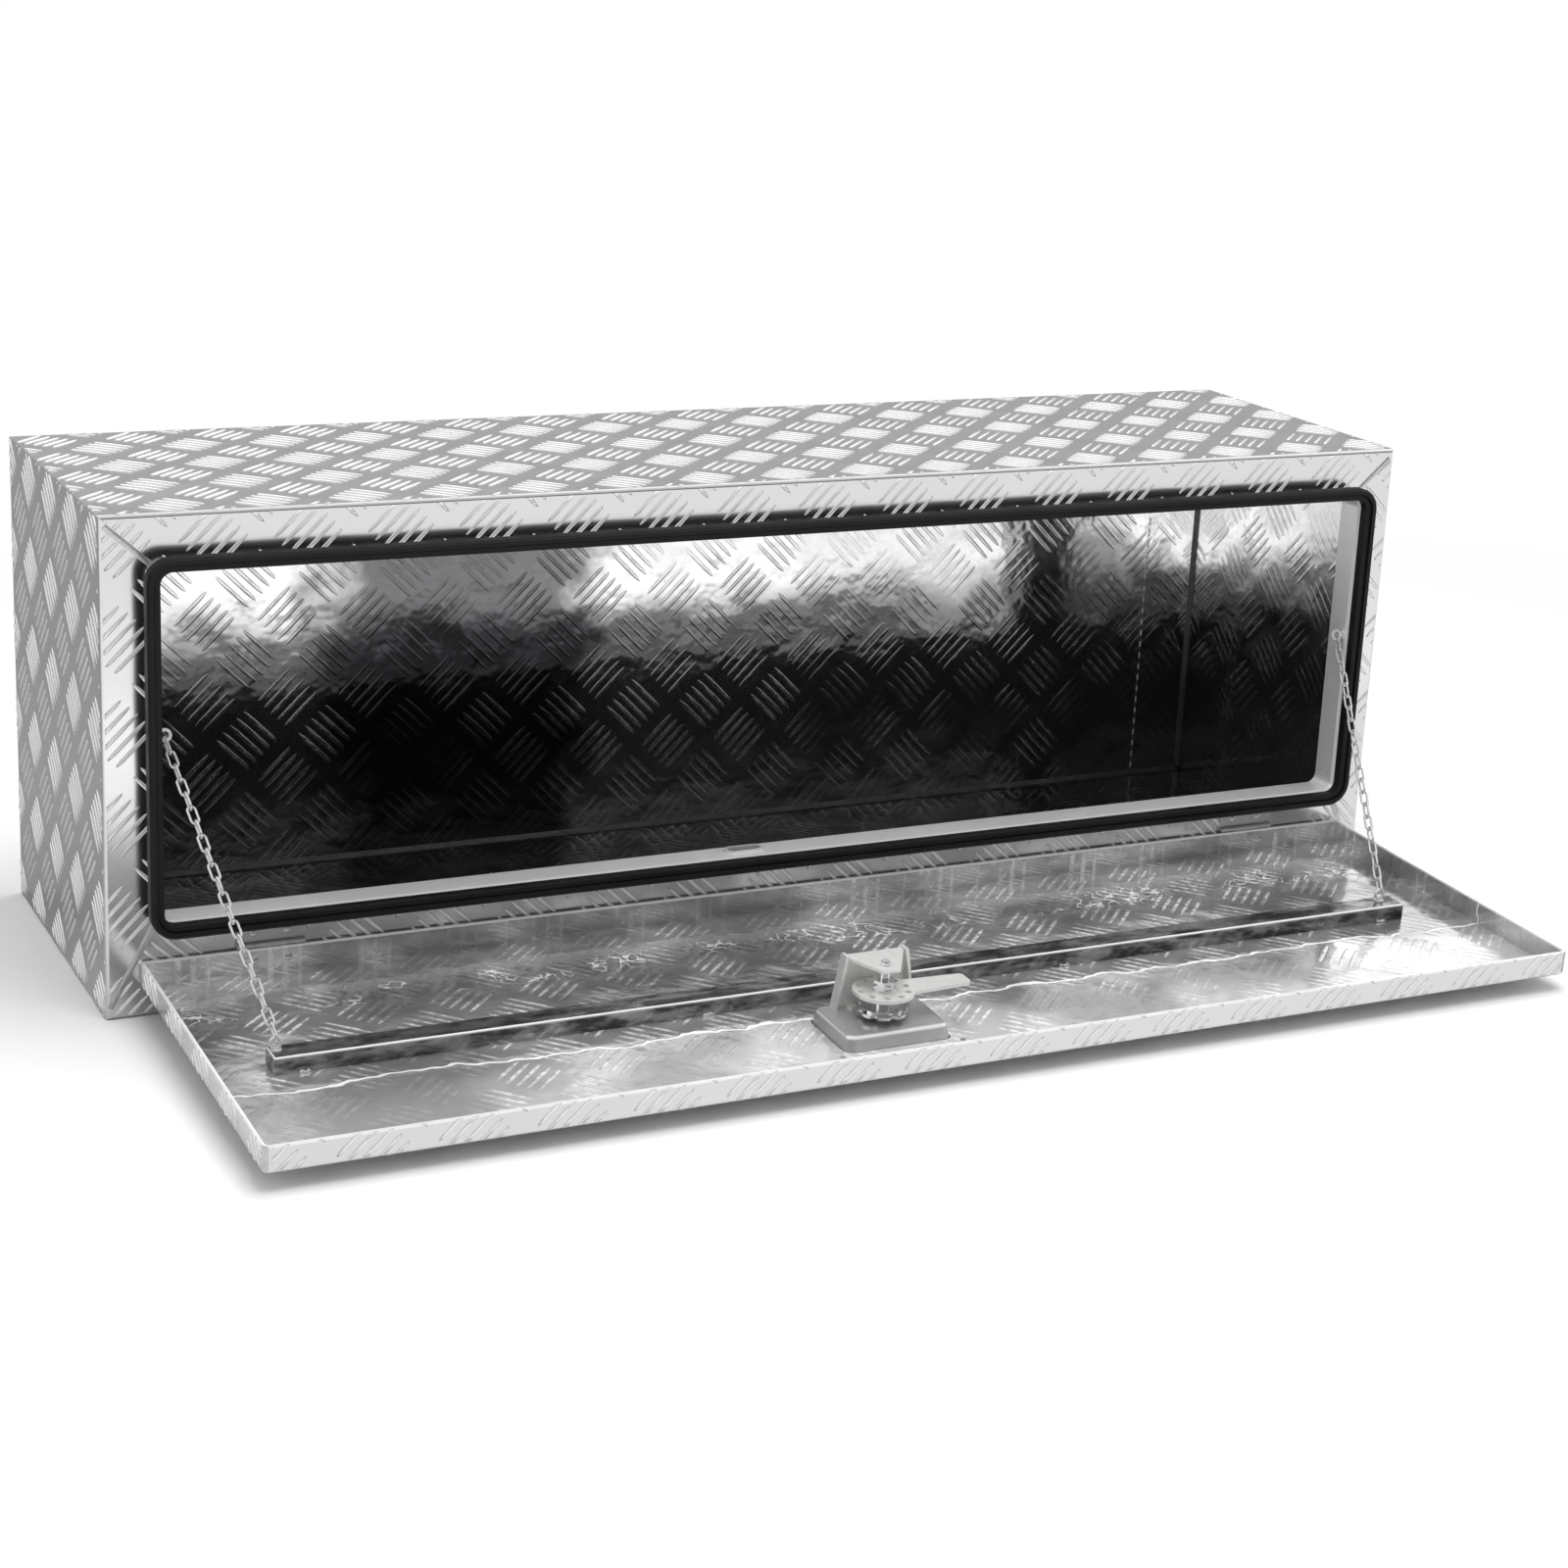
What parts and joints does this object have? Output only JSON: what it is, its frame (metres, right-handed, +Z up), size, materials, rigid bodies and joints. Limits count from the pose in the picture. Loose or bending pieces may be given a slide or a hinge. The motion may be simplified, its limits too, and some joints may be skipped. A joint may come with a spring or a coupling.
{
  "type": "underbody truck tool box",
  "caption": "Long underbody truck tool box in tread plate aluminium, with its drop-down door open on side chains, a black bulb seal round the opening and a T-handle latch.",
  "frame": {"origin": "centre of the box's base, on the surface it stands on", "axes": "+X along the box to the right as seen from the front, +Y from the door towards the back panel, +Z up"},
  "size_m": [1.219, 0.6682, 0.412],
  "materials": {
    "tread_plate": "polished, with raised bar pattern",
    "plain_aluminium": "bright, smooth",
    "weld_bead": "ground weld",
    "hinge_steel": "satin",
    "rivet_aluminium": "satin",
    "zinc_plate": "pale zinc plate",
    "dish_steel": "satin",
    "bright_chrome": "polished",
    "chain_steel": "bright plated",
    "seal_rubber": "matte"
  },
  "bodies": {
    "box": {"top_panel": "tread_plate", "bottom_panel": "tread_plate", "left_end_panel": "tread_plate", "right_end_panel": "tread_plate", "back_panel": "tread_plate", "front_mitre_welds": "weld_bead", "inside_corner_welds": "weld_bead", "opening_strip_top": "plain_aluminium", "opening_strip_bottom": "plain_aluminium", "opening_strip_left": "plain_aluminium", "opening_strip_right": "plain_aluminium", "drain_slot_rim": "zinc_plate", "seal_grip": "seal_rubber", "seal_bulb": "seal_rubber", "left_hinge_box_leaf": "hinge_steel", "right_hinge_box_leaf": "hinge_steel", "hinge_pins": "hinge_steel", "hinge_box_rivets": "rivet_aluminium", "box_chain_eyes": "zinc_plate", "box_chain_nuts": "zinc_plate"},
    "door": {"door_panel": "tread_plate", "door_corner_welds": "weld_bead", "stiffener_channel": "plain_aluminium", "stiffener_tack_welds": "weld_bead", "left_hinge_door_leaf": "hinge_steel", "right_hinge_door_leaf": "hinge_steel", "hinge_door_rivets": "rivet_aluminium", "door_chain_eyes": "zinc_plate", "door_chain_nuts": "zinc_plate", "latch_dish": "dish_steel", "latch_gasket": "seal_rubber", "latch_dish_rivets": "rivet_aluminium", "latch_bracket": "zinc_plate", "latch_bracket_rivets": "rivet_aluminium", "lock_body": "bright_chrome"},
    "latch_spindle": {"latch_spindle": "bright_chrome", "fold_pin": "bright_chrome", "star_washer": "bright_chrome", "detent_disc": "bright_chrome", "cam_spacer": "bright_chrome", "cam_plate": "zinc_plate", "cam_washer": "bright_chrome", "cam_nut": "bright_chrome", "spindle_end_nut": "bright_chrome"},
    "lock_plug": {"lock_plug": "bright_chrome"},
    "t_handle": {"t_handle_stem": "bright_chrome", "t_handle_grip": "bright_chrome"},
    "left_chain_upper": {"left_chain_upper": "chain_steel"},
    "left_chain_lower": {"left_chain_lower": "chain_steel"},
    "right_chain_upper": {"right_chain_upper": "chain_steel"},
    "right_chain_lower": {"right_chain_lower": "chain_steel"}
  },
  "joints": [
    {"name": "door_hinge", "type": "hinge", "parent": "box", "child": "door", "pos_m": [0, -0.1615, 0.0506], "axis": [-1, 0, 0], "range_deg": [0, 92]},
    {"name": "latch_turn", "type": "hinge", "parent": "door", "child": "latch_spindle", "pos_m": [-0.0515, -0.42498, 0.01678], "axis": [0, 0.0349, -0.9994], "range_deg": [0, 90]},
    {"name": "handle_fold", "type": "hinge", "parent": "latch_spindle", "child": "t_handle", "pos_m": [-0.0515, -0.42515, 0.02178], "axis": [0, 0.9994, 0.0349], "range_deg": [-39, 51]},
    {"name": "lock_turn", "type": "hinge", "parent": "door", "child": "lock_plug", "pos_m": [-0.0825, -0.42498, 0.01678], "axis": [0, -0.0349, 0.9994], "range_deg": [0, 90]},
    {"name": "left_chain_upper_swing", "type": "hinge", "parent": "box", "child": "left_chain_upper", "pos_m": [-0.5606, -0.16394, 0.23113], "axis": [0.9817, 0.1903, 0], "range_deg": [0, 45.05]},
    {"name": "left_chain_lower_swing", "type": "hinge", "parent": "door", "child": "left_chain_lower", "pos_m": [-0.5255, -0.34498, 0.04669], "axis": [-0.9811, 0.0068, -0.1933], "range_deg": [0, 44.13]},
    {"name": "right_chain_upper_swing", "type": "hinge", "parent": "box", "child": "right_chain_upper", "pos_m": [0.5606, -0.16394, 0.23113], "axis": [0.9475, -0.3198, 0], "range_deg": [0, 46.06]},
    {"name": "right_chain_lower_swing", "type": "hinge", "parent": "door", "child": "right_chain_lower", "pos_m": [0.4995, -0.34498, 0.04669], "axis": [-0.9458, -0.0113, 0.3245], "range_deg": [0, 45.18]}
  ],
  "couplings": [
    {"joint": "left_chain_upper_swing", "follows": "door_hinge", "ratio": 0.48907},
    {"joint": "left_chain_lower_swing", "follows": "door_hinge", "ratio": 0.47913},
    {"joint": "right_chain_upper_swing", "follows": "door_hinge", "ratio": 0.50012},
    {"joint": "right_chain_lower_swing", "follows": "door_hinge", "ratio": 0.49053}
  ]
}
